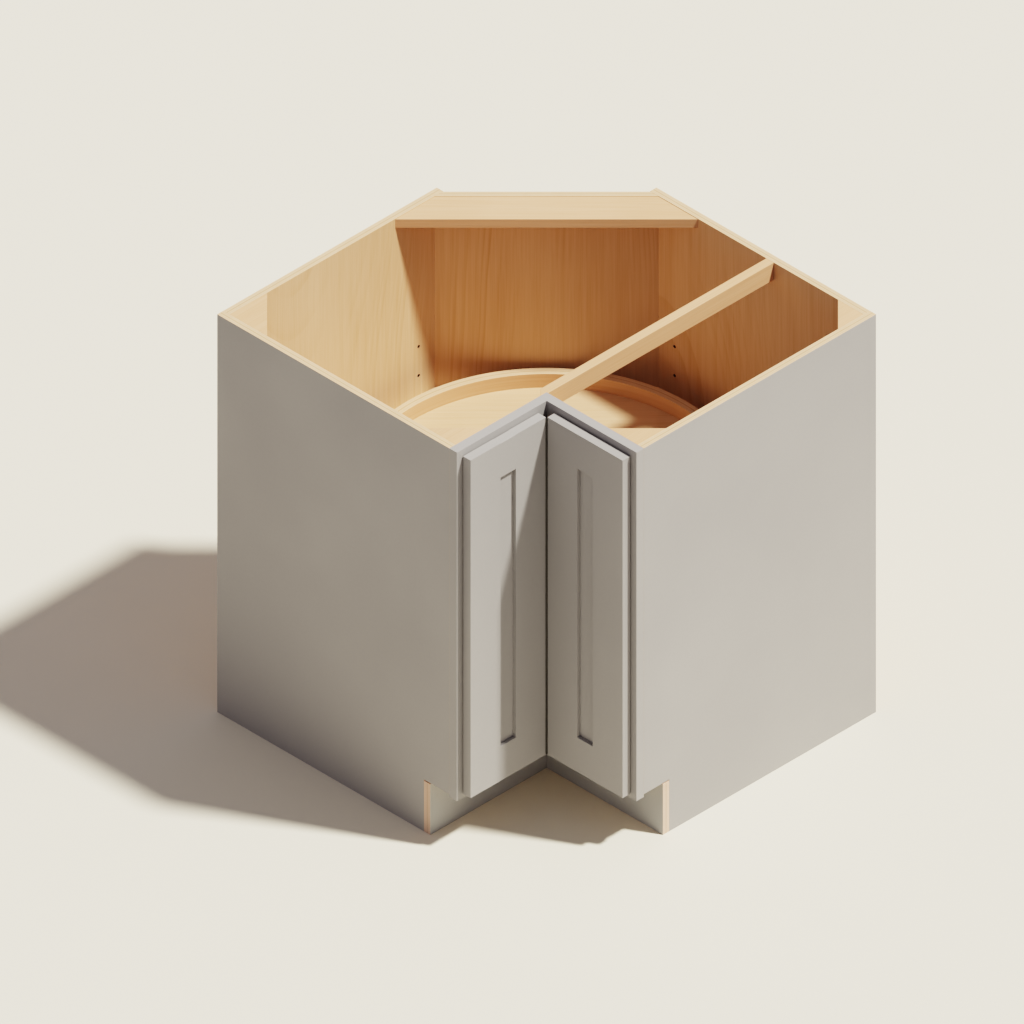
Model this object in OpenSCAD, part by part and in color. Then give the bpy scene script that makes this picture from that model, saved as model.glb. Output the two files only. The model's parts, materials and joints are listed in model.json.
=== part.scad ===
// Corner base cabinet with two turning trays and a folding pair of doors.
// X and Y run along the two room walls, Z is up. The origin is on the floor,
// below the axis that both trays turn about, at the middle of the footprint.
// The room corner is at -X +Y, and the notch with the doors is at +X -Y.

/* [Carcass] */
// Length of the cabinet along each room wall
cabinet_w = 838.2; // [820:1:870]
// Height of the cabinet without a worktop
cabinet_h = 876.3; // [860:1:900]
// Depth of each end panel with its face frame
side_depth = 609.6; // [600:1:620]
// Thickness of the plywood panels
panel_t = 16; // [15:0.5:17]
// Thickness of the angled back
back_t = 14; // [12:0.5:16]
// Length that the angled back cuts off each room wall
cut_leg = 279.4; // [270:1:290]
// How far the wall panels stand past the angled back
wall_lip = 1.8; // [1:0.2:4]

/* [Toe kick] */
// Height of the toe notch in the end panels
toe_h = 114.3; // [110:1:120]
// Depth of the toe notch behind the front of the face frame
toe_depth = 83.3; // [75:1:90]
// Thickness of the toe boards
toe_board_t = 16; // [15:0.5:17]
// Gap above the toe boards
toe_board_gap = 2.5; // [1:0.5:5]
// Height of the battens under the floor
cleat_h = 40; // [30:1:50]
// Thickness of the floor and of the battens
floor_t = 19; // [18:0.5:20]

/* [Face frame] */
// Thickness of the face frame
frame_t = 19; // [18:0.5:20]
// Width of the frame stiles
stile_w = 38.1; // [36:1:42]
// Height of the top rails, and of the rail across the top
top_rail_h = 38.1; // [36:1:42]
// How far the frame hangs below the toe notch
frame_drop = 6.35; // [5:0.5:8]

/* [Top braces] */
// Thickness of the brace and of the corner blocks
brace_t = 19; // [16:1:22]
// Depth of the brace in front of the angled back
brace_depth = 71; // [50:1:80]
// How far the brace lies below the top edge
brace_recess = 1; // [0.5:0.5:5]
// How far the rail across the top stands out past the back of the left top rail
cross_rail_step = 3.5; // [1:0.5:6]
// Leg of the corner block at the end of the left wall
left_rear_leg = 95; // [70:1:110]
// Leg of the corner block at the end of the rear wall
right_rear_leg = 65; // [50:1:90]
// Leg of the two corner blocks behind the face frame
front_leg = 73; // [60:1:80]
// Length of the block below the inner corner of the face frame
notch_block_l = 104; // [90:1:110]

/* [Doors] */
// Thickness of the doors
door_t = 19; // [18:0.5:20]
// Gap between the doors and the face frame
door_gap = 2; // [2:0.1:3]
// Frame left showing beside and above the doors
door_reveal = 14.3; // [12:0.1:16]
// Frame left showing below the doors
bottom_reveal = 10.2; // [8:0.1:12]
// Gap between the doors at the inner corner
corner_gap = 1.9; // [1.8:0.1:2.4]
// Width of the door stiles and rails
door_rail_w = 76.2; // [70:1:78]
// Depth of the recessed door panels
recess = 7.5; // [6:0.5:9]
// Thickness of the recessed door panels
door_panel_t = 6; // [5:0.5:6.5]
// Depth of the grooves that hold the door panels
tongue = 9; // [6:0.5:12]

/* [Hinges and catch] */
// Height of the lower hinges above the bottom of the doors
hinge_inset = 100; // [90:1:120]
// Radius of the hinge cups
cup_r = 17.5; // [17:0.5:18]
// Depth of the holes for the hinge cups
cup_depth = 12.5; // [11:0.5:13]
// Distance of the cup centre from the edge of the door
cup_inset = 22.5; // [21:0.5:24]
// Outer radius of the knuckles of the fold hinge
knuckle_r = 1.6; // [1.5:0.1:2.2]
// Radius of the fold hinge pin
fold_pin_r = 0.8; // [0.7:0.1:0.9]
// Number of knuckles along the fold hinge
knuckle_count = 29; // [21:2:31]

/* [Trays] */
// Outer radius of both trays
tray_r = 355.6; // [350:1:356]
// Thickness of the rims
rim_t = 19; // [15:1:20]
// Height of the rims above the tray floors
rim_up = 30; // [25:1:40]
// Thickness of the tray floors
tray_floor_t = 12; // [10:1:15]
// Distance of the wedge cut from the turning axis
wedge_offset = 70; // [60:1:75]
// Outer radius of the corners where the wedge meets the round rim
wedge_corner_r = 45; // [30:1:50]
// Top of the fixed shelf above the floor
shelf_top = 456; // [450:1:470]

/* [Bearings] */
// Height of the turntable bearings
bearing_h = 9; // [9:0.5:10]
// Radius of the circle of balls
ball_circle_r = 72; // [70:1:73]
// Radius of the balls
ball_r = 2.8; // [2.6:0.1:2.8]
// Number of balls in each bearing
ball_count = 18; // [12:1:20]

/* [Shelf pins] */
// Radius of the shelf pin holes
pin_hole_r = 3.175; // [2.5:0.025:3.2]
// Depth of the shelf pin holes
pin_hole_depth = 10; // [9:0.5:12]
// Height from one pin hole to the next
pin_pitch = 64; // [64:1:70]

/* [Hidden] */
$fn = 96;

grey = "#b9b4ac";
maple = "#dfbf94";
steel = "#b4b6b8";
bronze = "#3a342e";
white_plastic = "#e4e1da";

// Carcass planes, each a distance from the turning axis
half = cabinet_w / 2;                     // outer faces of the four sides
inner = half - panel_t;                   // inner faces of the four sides
frame_front = side_depth - half;          // front of the face frame
frame_back = frame_front - frame_t;       // back of the face frame
toe_back = frame_front - toe_depth;       // back of the toe boards
toe_front = toe_back + toe_board_t;       // front of the toe boards
wall_end = half - cut_leg;                // end of each wall panel
back_outer = wall_end - wall_lip;         // angled back, outer face on the wall
back_inner = back_outer - back_t * sqrt(2);
brace_front = back_inner - brace_depth * sqrt(2);
floor_top = toe_h + floor_t;
frame_bottom = toe_h - frame_drop;
rail_bottom = cabinet_h - top_rail_h;
notch_block_margin = 2;
plan_corners = [
    [-inner, -inner], [frame_back, -inner], [frame_back, -frame_back],
    [inner, -frame_back], [inner, inner], [-back_inner, inner], [-inner, back_inner]];

// Doors, given for the right door, which faces -Y
door_front = frame_front + door_gap + door_t;
door_back = frame_front + door_gap;
door_inner = door_front + corner_gap;
door_outer = half - door_reveal;
door_bottom = frame_bottom + bottom_reveal;
door_top = cabinet_h - door_reveal;
fold_axis = door_front + corner_gap / 2;
hinge_heights = [door_bottom + hinge_inset, door_top - hinge_inset];
fold_end = 2;                             // from each end of the fold hinge to the end of the door
fold_low = door_bottom + fold_end;
fold_high = door_top - fold_end;
knuckle_h = (fold_high - fold_low) / knuckle_count;
knuckle_gap = 0.2;
running = 0.05;
leaf_near = running;                      // faces of a leaf, as distances from the fold axis
leaf_far = corner_gap / 2;
leaf_start = knuckle_r + 0.25;
leaf_w = 17;
cup_x = door_outer - cup_inset;
cup_flange = [18, 1, 64];
cup_screw_z = 26;                         // above and below the middle of a cup
arm_plate = [2, 15, 50];
arm_bar = [12, 42, 12];
arm_reach = 3.5;
arm_set_back = 2;
arm_screw_z = 16;
catch_size = [24, 40, 14];
catch_y = -320;
strike_size = [1.5, 30, 12];
bumper_r = 4;
bumper_t = 1.8;
bumper_side = [15, 12];
bumper_end = 30;

// Trays and bearings
shelf_t = panel_t;
tray_set = [shelf_top, floor_top];        // what the upper and lower bearings stand on
bearing_plate_t = 1.5;
wedge_inner = wedge_offset - rim_t;
glue_gap = 0.1;
corner_cx = sqrt(pow(tray_r - wedge_corner_r, 2) - pow(wedge_offset - wedge_corner_r, 2));
corner_cy = wedge_corner_r - wedge_offset;
cage_w = 9;
cage_t = 0.6;
base_ridge_gap = 10;
ridge_t = 1.5;
base_ridge_h = 2.5;
top_ridge_h = 2;
base_ring = [59, 97];
top_ring = [42, 84];
base_screw_r = 91;
top_screw_r = 48;
bearing_screw_count = 6;
shank_r = 1.75;
head_r = 3.6;
head_h = 1.8;
bearing_screw_len = 10;

// Shelf pins stand in the lowest hole of each column, right below the shelf
pin_r = pin_hole_r - 0.05;
pin_out = 9;
pin_z = shelf_top - shelf_t - pin_r;
wall_columns = [77.5, -300];
end_columns = [-300, 60];

module board(low, high) {
    translate(low) cube(high - low);
}

// Turns a shape made for the right-hand side into its partner on the left
module left_hand() {
    mirror([1, 1, 0]) children();
}

module plan_plate(z, t, corners) {
    translate([0, 0, z]) linear_extrude(t) polygon(corners);
}

// Three holes one above the other, drilled outwards from an inner face
module pin_hole_column() {
    for (row = [0:2])
        translate([0, 0, pin_z + row * pin_pitch])
            rotate([0, 90, 0]) cylinder(h = pin_hole_depth, r = pin_hole_r);
}

// Right-hand end panel, in the plane X = half, with its toe notch
module end_panel() {
    color(grey) difference() {
        board([inner, -frame_back, 0], [half, half, cabinet_h]);
        board([inner - 1, -frame_back - 1, -1], [half + 1, -toe_back, toe_h]);
        for (y = end_columns) translate([inner, -y, 0]) pin_hole_column();
    }
}

module right_end_panel() { end_panel(); }
module left_end_panel() { left_hand() end_panel(); }

// Rear wall panel, in the plane Y = half, between the end panel and the angled back
module wall_panel() {
    color(maple) difference() {
        board([-wall_end, inner, 0], [inner, half, cabinet_h]);
        for (x = wall_columns)
            translate([-x, inner, 0]) rotate([0, 0, 90]) pin_hole_column();
    }
}

module rear_wall_panel() { wall_panel(); }
module left_wall_panel() { left_hand() wall_panel(); }

module diagonal_back_panel() {
    color(maple) plan_plate(0, cabinet_h, [
        [-inner, back_inner], [-back_inner, inner],
        [-back_outer, inner], [-inner, back_outer]]);
}

// Screw holes from above, for the lower race of a bearing
module bearing_holes(radius, depth, top) {
    for (i = [0:bearing_screw_count - 1])
        rotate([0, 0, (i + 0.5) * 360 / bearing_screw_count])
            translate([radius, 0, top - depth]) cylinder(h = depth + 1, r = shank_r + running);
}

module cabinet_floor() {
    color(maple) difference() {
        plan_plate(toe_h, floor_t, plan_corners);
        bearing_holes(base_screw_r, bearing_screw_len, floor_top);
    }
}

module fixed_shelf() {
    color(maple) difference() {
        plan_plate(shelf_top - shelf_t, shelf_t, plan_corners);
        bearing_holes(base_screw_r, bearing_screw_len, shelf_top);
    }
}

// The right board butts against the back of the left one
module right_toe_board() {
    color(grey) board([toe_front, -toe_front, 0], [half, -toe_back, toe_h - toe_board_gap]);
}

module left_toe_board() {
    color(grey) board([toe_back, -half, 0], [toe_front, -toe_back, toe_h - toe_board_gap]);
}

module frame_stile() {
    color(grey) board([half - stile_w, -frame_front, frame_bottom], [half, -frame_back, cabinet_h]);
}

module right_frame_stile() { frame_stile(); }
module left_frame_stile() { left_hand() frame_stile(); }

// The left rails run through behind the inner corner, and the right rails butt against them
module right_rail(low, high) {
    color(grey) board([frame_front, -frame_front, low], [half - stile_w, -frame_back, high]);
}

module left_rail(low, high) {
    color(grey) board([frame_back, stile_w - half, low], [frame_front, -frame_back, high]);
}

module right_top_rail() { right_rail(rail_bottom, cabinet_h); }
module left_top_rail() { left_rail(rail_bottom, cabinet_h); }
module right_bottom_rail() { right_rail(frame_bottom, floor_top); }
module left_bottom_rail() { left_rail(frame_bottom, floor_top); }

module rear_corner_brace() {
    color(maple) plan_plate(cabinet_h - brace_recess - brace_t, brace_t, [
        [-inner, brace_front], [-brace_front, inner],
        [-back_inner, inner], [-inner, back_inner]]);
}

// Its front end is cut at half a right angle, and the point runs along the back of the left top rail
module cross_rail() {
    right = frame_back + cross_rail_step;
    left = right - frame_t;
    color(maple) plan_plate(rail_bottom, top_rail_h, [
        [left, -frame_back], [frame_back, left - 2 * frame_back], [frame_back, -frame_back],
        [right, -frame_back], [right, inner], [left, inner]]);
}

// Triangular block whose right angle sits in the corner at (x, y)
module corner_block(x, y, to_x, to_y, leg) {
    plan_plate(cabinet_h - brace_t, brace_t, [[x, y], [x + to_x * leg, y], [x, y + to_y * leg]]);
}

// Block below the ends of the two top rails and of the rail across the top
module notch_block() {
    left = frame_back - 2 * frame_t + notch_block_margin;
    board([left, -frame_front, rail_bottom - brace_t],
          [left + notch_block_l, -frame_back + frame_t, rail_bottom]);
}

module corner_blocks() {
    color(maple) {
        notch_block();
        corner_block(-inner, -inner, 1, 1, left_rear_leg);
        corner_block(inner, inner, -1, -1, right_rear_leg);
        corner_block(inner, -frame_back, -1, 1, front_leg);
        corner_block(frame_back, -inner, -1, 1, front_leg);
    }
}

// One batten below the floor on each side, and one across the angled back
module floor_cleats() {
    low = toe_h - cleat_h;
    color(maple) {
        board([inner - floor_t, -toe_back, low], [inner, inner - floor_t, toe_h]);
        left_hand() board([inner - floor_t, -toe_back, low], [inner, inner - floor_t, toe_h]);
        board([-back_inner + floor_t, inner - floor_t, low], [inner, inner, toe_h]);
        left_hand() board([-back_inner + floor_t, inner - floor_t, low], [inner, inner, toe_h]);
    }
}

// A plain pin, in its hole but for the stub that carries the shelf
module shelf_pin() {
    translate([-pin_out, 0, pin_z]) rotate([0, 90, 0])
        cylinder(h = pin_out + pin_hole_depth - 1, r = pin_r);
}

module shelf_pins() {
    color(steel) {
        for (y = end_columns) {
            translate([inner, -y, 0]) shelf_pin();
            left_hand() translate([inner, -y, 0]) shelf_pin();
        }
        for (x = wall_columns) {
            translate([-x, inner, 0]) rotate([0, 0, 90]) shelf_pin();
            left_hand() translate([-x, inner, 0]) rotate([0, 0, 90]) shelf_pin();
        }
    }
}

// Screw that points up, with its head below the given height
module upward_screw(under, length) {
    translate([0, 0, under - head_h]) cylinder(h = head_h, r = head_r);
    translate([0, 0, under - head_h]) cylinder(h = head_h + length, r = shank_r);
}

// Clip on the inner edge of the stile, with a bar that reaches into the hinge cup
module hinge_arms() {
    edge = half - stile_w;
    color(steel) for (z = hinge_heights) difference() {
        union() {
            board([edge - arm_plate[0], -frame_front + arm_set_back, z - arm_plate[2] / 2],
                  [edge, -frame_front + arm_set_back + arm_plate[1], z + arm_plate[2] / 2]);
            board([edge - arm_bar[0], -door_back - arm_reach, z - arm_bar[2] / 2],
                  [edge - arm_plate[0], -door_back - arm_reach + arm_bar[1], z + arm_bar[2] / 2]);
        }
        for (side = [-1, 1])
            translate([edge - arm_plate[0] - 1, -frame_front + frame_t / 2, z + side * arm_screw_z])
                rotate([0, 90, 0]) cylinder(h = arm_plate[0] + 2, r = shank_r + running);
    }
}

module hinge_arm_screws() {
    edge = half - stile_w;
    color(steel) for (z = hinge_heights, side = [-1, 1])
        translate([edge - arm_plate[0], -frame_front + frame_t / 2, z + side * arm_screw_z])
            rotate([0, 90, 0]) {
                translate([0, 0, -head_h]) cylinder(h = head_h, r = head_r);
                translate([0, 0, -head_h]) cylinder(h = head_h + arm_plate[0], r = shank_r);
            }
}

// Magnet in a plastic case below the left top rail
module magnetic_catch() {
    color(white_plastic)
        board([frame_front - catch_size[0], catch_y - catch_size[1] / 2, rail_bottom - catch_size[2]],
              [frame_front, catch_y + catch_size[1] / 2, rail_bottom]);
}

module catch_plate() {
    color(steel)
        board([door_back - strike_size[0], catch_y - strike_size[1] / 2, rail_bottom - 1 - strike_size[2]],
              [door_back, catch_y + strike_size[1] / 2, rail_bottom - 1]);
}

// Stiles, rails and panel of the right door
door_low = door_bottom + door_rail_w;
door_high = door_top - door_rail_w;
panel_front = -(door_front - recess);
panel_back = panel_front + door_panel_t;

module door_panel_slot() {
    board([door_inner + door_rail_w - tongue, panel_front, door_low - tongue],
          [door_outer - door_rail_w + tongue, panel_back, door_high + tongue]);
}

module fold_relief() {
    translate([fold_axis, -fold_axis, door_bottom - 1])
        cylinder(h = door_top - door_bottom + 2, r = knuckle_r + 0.3);
}

module door_outer_stile() {
    difference() {
        board([door_outer - door_rail_w, -door_front, door_bottom], [door_outer, -door_back, door_top]);
        door_panel_slot();
    }
}

module door_inner_stile() {
    difference() {
        board([door_inner, -door_front, door_bottom], [door_inner + door_rail_w, -door_back, door_top]);
        door_panel_slot();
        fold_relief();
    }
}

module door_rail(low) {
    difference() {
        board([door_inner + door_rail_w, -door_front, low],
              [door_outer - door_rail_w, -door_back, low + door_rail_w]);
        door_panel_slot();
    }
}

module right_door_outer_stile() {
    color(grey) difference() {
        door_outer_stile();
        for (z = hinge_heights) translate([cup_x, -door_back + 1, z]) rotate([90, 0, 0])
            cylinder(h = cup_depth + 1, r = cup_r);
        for (z = hinge_heights, side = [-1, 1])
            translate([cup_x, -door_back + 1, z + side * cup_screw_z]) rotate([90, 0, 0])
                cylinder(h = bearing_screw_len + 1, r = shank_r + running);
    }
}

module right_door_inner_stile() { color(grey) door_inner_stile(); }
module right_door_top_rail() { color(grey) door_rail(door_high); }
module right_door_bottom_rail() { color(grey) door_rail(door_bottom); }
module right_door_panel() { color(grey) door_panel_slot(); }

module left_door_outer_stile() { color(grey) left_hand() door_outer_stile(); }
module left_door_inner_stile() { color(grey) left_hand() door_inner_stile(); }
module left_door_top_rail() { color(grey) left_hand() door_rail(door_high); }
module left_door_bottom_rail() { color(grey) left_hand() door_rail(door_bottom); }
module left_door_panel() { color(grey) left_hand() door_panel_slot(); }

// Open steel cup let into the door, with a flange on the back of the door
module hinge_cups() {
    color(steel) for (z = hinge_heights) difference() {
        union() {
            translate([cup_x, -door_back, z]) rotate([90, 0, 0])
                cylinder(h = cup_depth - 0.5, r = cup_r - running);
            board([cup_x - cup_flange[0] / 2, -door_back, z - cup_flange[2] / 2],
                  [cup_x + cup_flange[0] / 2, -door_back + cup_flange[1], z + cup_flange[2] / 2]);
        }
        translate([cup_x, -door_back + 2, z]) rotate([90, 0, 0])
            cylinder(h = cup_depth + 0.5, r = cup_r - 1);
        for (side = [-1, 1])
            translate([cup_x, -door_back + 2, z + side * cup_screw_z]) rotate([90, 0, 0])
                cylinder(h = 3, r = shank_r + running);
    }
}

// Flat-headed screws that lie flush in the cup flanges
module hinge_cup_screws() {
    color(steel) for (z = hinge_heights, side = [-1, 1])
        translate([cup_x, -door_back + cup_flange[1], z + side * cup_screw_z])
            rotate([90, 0, 0]) cylinder(h = bearing_screw_len, r = shank_r);
}

// Knuckle of a fold hinge leaf, with the strip that joins it to the leaf
module knuckle(number) {
    translate([0, 0, fold_low + number * knuckle_h + knuckle_gap / 2]) {
        cylinder(h = knuckle_h - knuckle_gap, r = knuckle_r);
        board([leaf_near, 0, 0], [leaf_far, leaf_start + 1, knuckle_h - knuckle_gap]);
    }
}

// Leaf on the inner edge of the right door, drawn about the fold axis, with every second knuckle
module fold_leaf(first) {
    difference() {
        union() {
            board([leaf_near, leaf_start, fold_low], [leaf_far, leaf_w, fold_high]);
            for (number = [first:2:knuckle_count - 1]) knuckle(number);
        }
        translate([0, 0, fold_low - 1])
            cylinder(h = fold_high - fold_low + 2, r = fold_pin_r + running);
    }
}

module fold_hinge_right_leaf() {
    color(bronze) translate([fold_axis, -fold_axis, 0]) fold_leaf(0);
}

module fold_hinge_left_leaf() {
    color(bronze) left_hand() translate([fold_axis, -fold_axis, 0]) fold_leaf(1);
}

module fold_hinge_pin() {
    color(bronze) translate([fold_axis, -fold_axis, fold_low])
        cylinder(h = fold_high - fold_low, r = fold_pin_r);
}

// Soft dots on the back of a door, where it meets the frame
module bumper(x, z) {
    translate([x, -door_back + bumper_t, z]) rotate([90, 0, 0]) cylinder(h = bumper_t, r = bumper_r);
}

module right_door_bumpers() {
    color(white_plastic) {
        bumper(door_inner + bumper_side[0], (door_top + rail_bottom) / 2);
        bumper(door_inner + bumper_side[0], (door_bottom + floor_top) / 2);
    }
}

module left_door_bumpers() {
    color(white_plastic) left_hand() {
        bumper(door_outer - bumper_side[1], door_top - bumper_end);
        bumper(door_outer - bumper_side[1], door_bottom + bumper_end);
    }
}

// Outline of a tray: a disc without its front wedge, drawn in by a margin.
// The two corners where the wedge meets the disc are rounded.
module wedge_corner(margin) {
    far = tray_r + 50;
    difference() {
        children();
        polygon([
            [corner_cx, corner_cy], [corner_cx, -far], [far, -far],
            [corner_cx / (tray_r - wedge_corner_r) * far, corner_cy / (tray_r - wedge_corner_r) * far]]);
    }
    translate([corner_cx, corner_cy]) circle(r = wedge_corner_r - margin);
}

module tray_outline(margin) {
    far = tray_r + 50;
    cut = wedge_offset - margin;
    mirror([1, 1]) wedge_corner(margin) mirror([1, 1]) wedge_corner(margin) difference() {
        circle(r = tray_r - margin, $fn = 180);
        translate([cut, -far]) square([far - cut, far - cut]);
    }
}

// Straight sides of the wedge: one runs along X, its partner along Y butts against it
module side_rim_plan() {
    translate([wedge_inner, -wedge_offset]) square([corner_cx - wedge_inner, rim_t]);
    translate([wedge_inner, -corner_cx]) square([rim_t, corner_cx - wedge_offset - glue_gap]);
}

module tray_floor(z) {
    color(maple) difference() {
        translate([0, 0, z + bearing_h]) linear_extrude(tray_floor_t) tray_outline(rim_t);
        bearing_holes_up(z + bearing_h);
    }
}

module bearing_holes_up(from) {
    for (i = [0:bearing_screw_count - 1])
        rotate([0, 0, i * 360 / bearing_screw_count])
            translate([top_screw_r, 0, from - 1])
                cylinder(h = bearing_screw_len + 1, r = shank_r + running);
}

module tray_rim(z) {
    color(maple) translate([0, 0, z + bearing_h]) linear_extrude(tray_floor_t + rim_up) difference() {
        tray_outline(0);
        tray_outline(rim_t);
        translate([wedge_inner, -wedge_offset]) square([corner_cx - wedge_inner, rim_t]);
        translate([wedge_inner, -corner_cx]) square([rim_t, corner_cx - wedge_inner]);
    }
}

module tray_side_rims(z) {
    color(maple) translate([0, 0, z + bearing_h]) linear_extrude(tray_floor_t + rim_up) side_rim_plan();
}

module upper_tray_floor() { tray_floor(tray_set[0]); }
module upper_tray_rim() { tray_rim(tray_set[0]); }
module upper_tray_side_rims() { tray_side_rims(tray_set[0]); }
module lower_tray_floor() { tray_floor(tray_set[1]); }
module lower_tray_rim() { tray_rim(tray_set[1]); }
module lower_tray_side_rims() { tray_side_rims(tray_set[1]); }

module ring(z, height, r_in, r_out) {
    translate([0, 0, z]) difference() {
        cylinder(h = height, r = r_out, $fn = 180);
        translate([0, 0, -1]) cylinder(h = height + 2, r = r_in, $fn = 180);
    }
}

// Lower race of a turntable bearing, screwed to what carries it
module bearing_base(z) {
    near = base_ridge_gap / 2;
    color(steel) difference() {
        union() {
            ring(z, bearing_plate_t, base_ring[0], base_ring[1]);
            ring(z + 1, bearing_plate_t + base_ridge_h - 1,
                 ball_circle_r - near - ridge_t, ball_circle_r - near);
            ring(z + 1, bearing_plate_t + base_ridge_h - 1,
                 ball_circle_r + near, ball_circle_r + near + ridge_t);
        }
        bearing_holes(base_screw_r, 3, z + 2);
    }
}

// Upper race, screwed to the bottom of the tray
module bearing_top(z) {
    near = base_ridge_gap / 2;
    top = z + bearing_h;
    color(steel) difference() {
        union() {
            ring(top - bearing_plate_t, bearing_plate_t, top_ring[0], top_ring[1]);
            ring(top - bearing_plate_t - top_ridge_h, top_ridge_h + 1,
                 ball_circle_r - near, ball_circle_r - near + ridge_t);
            ring(top - bearing_plate_t - top_ridge_h, top_ridge_h + 1,
                 ball_circle_r + near - ridge_t, ball_circle_r + near);
        }
        bearing_holes_up(top - bearing_plate_t);
    }
}

module bearing_screws(z) {
    color(steel) for (i = [0:bearing_screw_count - 1])
        rotate([0, 0, (i + 0.5) * 360 / bearing_screw_count])
            translate([base_screw_r, 0, z + bearing_plate_t]) {
                cylinder(h = head_h, r = head_r);
                translate([0, 0, -bearing_screw_len + 1]) cylinder(h = bearing_screw_len, r = shank_r);
            }
}

module tray_screws(z) {
    color(steel) for (i = [0:bearing_screw_count - 1])
        rotate([0, 0, i * 360 / bearing_screw_count])
            translate([top_screw_r, 0, 0])
                upward_screw(z + bearing_h - bearing_plate_t, bearing_screw_len - 1);
}

module upper_bearing_base() { bearing_base(tray_set[0]); }
module upper_bearing_top() { bearing_top(tray_set[0]); }
module upper_bearing_screws() { bearing_screws(tray_set[0]); }
module upper_tray_screws() { tray_screws(tray_set[0]); }
module lower_bearing_base() { bearing_base(tray_set[1]); }
module lower_bearing_top() { bearing_top(tray_set[1]); }
module lower_bearing_screws() { bearing_screws(tray_set[1]); }
module lower_tray_screws() { tray_screws(tray_set[1]); }

module ball_places(z) {
    for (i = [0:ball_count - 1])
        rotate([0, 0, i * 360 / ball_count]) translate([ball_circle_r, 0, z]) children();
}

// Flat ring with a pocket for every ball
module ball_cage(z) {
    middle = z + bearing_h / 2;
    color(white_plastic) difference() {
        ring(middle - cage_t / 2, cage_t, ball_circle_r - cage_w / 2, ball_circle_r + cage_w / 2);
        ball_places(middle - 1) cylinder(h = 2, r = ball_r + 0.1, $fn = 32);
    }
}

module balls(z) {
    color(steel) ball_places(z + bearing_h / 2) sphere(r = ball_r, $fn = 32);
}

module upper_ball_cage() { ball_cage(tray_set[0]); }
module upper_balls() { balls(tray_set[0]); }
module lower_ball_cage() { ball_cage(tray_set[1]); }
module lower_balls() { balls(tray_set[1]); }

left_end_panel();
right_end_panel();
left_wall_panel();
rear_wall_panel();
diagonal_back_panel();
cabinet_floor();
fixed_shelf();
left_toe_board();
right_toe_board();
left_frame_stile();
right_frame_stile();
left_top_rail();
right_top_rail();
left_bottom_rail();
right_bottom_rail();
rear_corner_brace();
cross_rail();
corner_blocks();
floor_cleats();
shelf_pins();
hinge_arms();
hinge_arm_screws();
magnetic_catch();
upper_bearing_base();
upper_bearing_screws();
lower_bearing_base();
lower_bearing_screws();
right_door_outer_stile();
right_door_inner_stile();
right_door_top_rail();
right_door_bottom_rail();
right_door_panel();
hinge_cups();
hinge_cup_screws();
fold_hinge_right_leaf();
fold_hinge_pin();
right_door_bumpers();
left_door_outer_stile();
left_door_inner_stile();
left_door_top_rail();
left_door_bottom_rail();
left_door_panel();
fold_hinge_left_leaf();
left_door_bumpers();
catch_plate();
upper_tray_floor();
upper_tray_rim();
upper_tray_side_rims();
upper_bearing_top();
upper_tray_screws();
lower_tray_floor();
lower_tray_rim();
lower_tray_side_rims();
lower_bearing_top();
lower_tray_screws();
upper_ball_cage();
upper_balls();
lower_ball_cage();
lower_balls();
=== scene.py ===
"""Finishes, eased boards and small hardware of a corner carousel cabinet."""
import json
import math

import bmesh
import bpy
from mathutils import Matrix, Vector


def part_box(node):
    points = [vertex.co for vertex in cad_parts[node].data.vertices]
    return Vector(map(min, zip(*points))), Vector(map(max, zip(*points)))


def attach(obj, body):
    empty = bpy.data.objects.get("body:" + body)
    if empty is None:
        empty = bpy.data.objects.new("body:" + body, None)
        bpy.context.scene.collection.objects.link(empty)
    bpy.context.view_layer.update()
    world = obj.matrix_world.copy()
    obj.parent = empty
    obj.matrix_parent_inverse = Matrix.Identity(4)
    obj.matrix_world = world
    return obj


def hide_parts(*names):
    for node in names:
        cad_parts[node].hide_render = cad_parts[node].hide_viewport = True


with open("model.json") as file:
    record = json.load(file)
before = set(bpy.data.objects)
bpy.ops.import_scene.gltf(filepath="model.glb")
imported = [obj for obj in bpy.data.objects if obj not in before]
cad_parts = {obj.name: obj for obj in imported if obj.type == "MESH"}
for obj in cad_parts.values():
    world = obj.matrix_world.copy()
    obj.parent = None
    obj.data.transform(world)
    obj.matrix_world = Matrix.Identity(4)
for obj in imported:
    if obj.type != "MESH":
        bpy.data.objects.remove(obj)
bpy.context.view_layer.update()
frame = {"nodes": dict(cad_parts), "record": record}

MM = 0.001
X, Y, Z = Vector((1, 0, 0)), Vector((0, 1, 0)), Vector((0, 0, 1))
BACK_NORMAL = Vector((1, -1, 0)).normalized()      # angled back, towards the inside
BACK_RUN = Vector((1, 1, 0)).normalized()          # along the angled back

# Edges of the boards, the steel and the plastic are eased by these widths
BOARD_EASE = 0.5 * MM
PANEL_EASE = 0.8 * MM
DOOR_EASE = 0.9 * MM
JOINT_EASE = 0.3 * MM
STEEL_EASE = 0.25 * MM
CATCH_EASE = 1.0 * MM
LEAF_EASE = 0.15 * MM
CAGE_EASE = 0.1 * MM

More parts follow.
